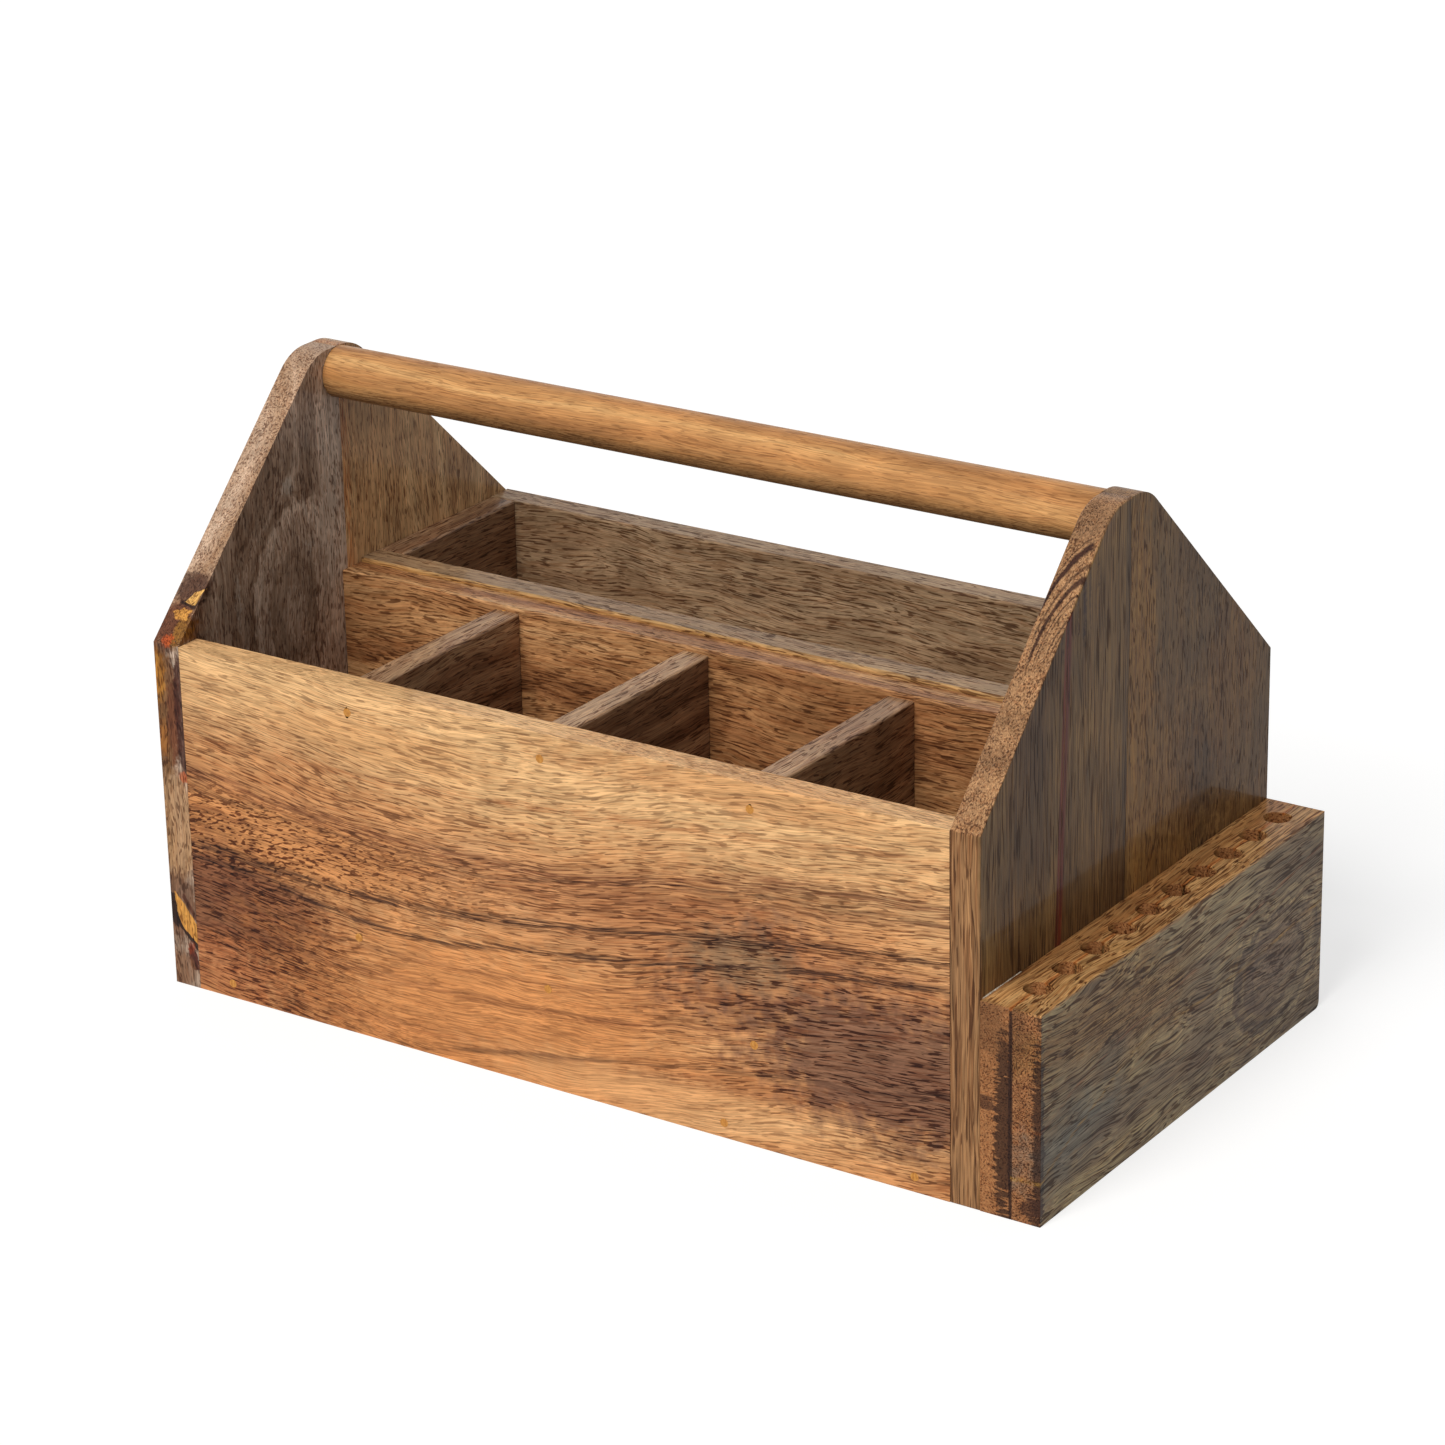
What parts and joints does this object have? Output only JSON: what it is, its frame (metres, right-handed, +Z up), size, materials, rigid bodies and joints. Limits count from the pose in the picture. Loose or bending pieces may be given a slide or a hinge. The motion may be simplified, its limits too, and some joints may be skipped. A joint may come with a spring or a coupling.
{
  "type": "tool storage caddy",
  "caption": "Open hardwood tool caddy with a round carrying handle between end gables, divided front bays, a long rear trough and a drilled socket rail on one end.",
  "frame": {"origin": "centre of the underside of the whole caddy, socket rail included, on the surface it stands on", "axes": "+Z up, +X along the handle towards the socket rail, +Y from the bays at the front to the trough at the rear"},
  "size_m": [0.48, 0.26, 0.2875],
  "materials": {
    "gable_wood": "clear lacquer over figured grey-brown hardwood",
    "front_board_wood": "clear lacquer over golden hardwood with dark streaks",
    "inner_board_wood": "clear lacquer over golden brown hardwood",
    "handle_wood": "clear lacquer over golden brown hardwood",
    "rail_wood": "clear lacquer over grey-brown hardwood",
    "dowel_wood": "bare pale hardwood",
    "brad_steel": "bright steel wire",
    "wood_filler": "gold-orange hardened wood filler under lacquer"
  },
  "bodies": {
    "root": {"left_gable_front_stave": "gable_wood", "left_gable_rear_stave": "gable_wood", "right_gable_front_stave": "gable_wood", "right_gable_middle_stave": "gable_wood", "right_gable_rear_stave": "gable_wood", "front_board": "front_board_wood", "back_board": "inner_board_wood", "bottom_board": "inner_board_wood", "middle_board": "inner_board_wood", "trough_front_wall": "inner_board_wood", "trough_left_end": "inner_board_wood", "trough_right_end": "inner_board_wood", "cross_divider_1": "inner_board_wood", "cross_divider_2": "inner_board_wood", "cross_divider_3": "inner_board_wood", "handle_bar": "handle_wood", "socket_rail_inner_board": "rail_wood", "socket_rail_outer_board": "rail_wood", "dowel_front_left_lower": "dowel_wood", "dowel_front_left_upper": "dowel_wood", "dowel_front_right_lower": "dowel_wood", "dowel_front_right_upper": "dowel_wood", "dowel_back_left_lower": "dowel_wood", "dowel_back_left_upper": "dowel_wood", "dowel_back_right_lower": "dowel_wood", "dowel_back_right_upper": "dowel_wood", "dowel_bottom_left_front": "dowel_wood", "dowel_bottom_left_rear": "dowel_wood", "dowel_bottom_right_front": "dowel_wood", "dowel_bottom_right_rear": "dowel_wood", "brad_divider_1_upper": "brad_steel", "brad_divider_1_lower": "brad_steel", "brad_divider_2_upper": "brad_steel", "brad_divider_2_lower": "brad_steel", "brad_divider_3_upper": "brad_steel", "brad_divider_3_lower": "brad_steel", "brad_bottom_1": "brad_steel", "brad_bottom_2": "brad_steel", "brad_bottom_3": "brad_steel", "filler_divider_1_upper": "wood_filler", "filler_divider_1_lower": "wood_filler", "filler_divider_2_upper": "wood_filler", "filler_divider_2_lower": "wood_filler", "filler_divider_3_upper": "wood_filler", "filler_divider_3_lower": "wood_filler", "filler_bottom_1": "wood_filler", "filler_bottom_2": "wood_filler", "filler_bottom_3": "wood_filler"}
  },
  "joints": []
}
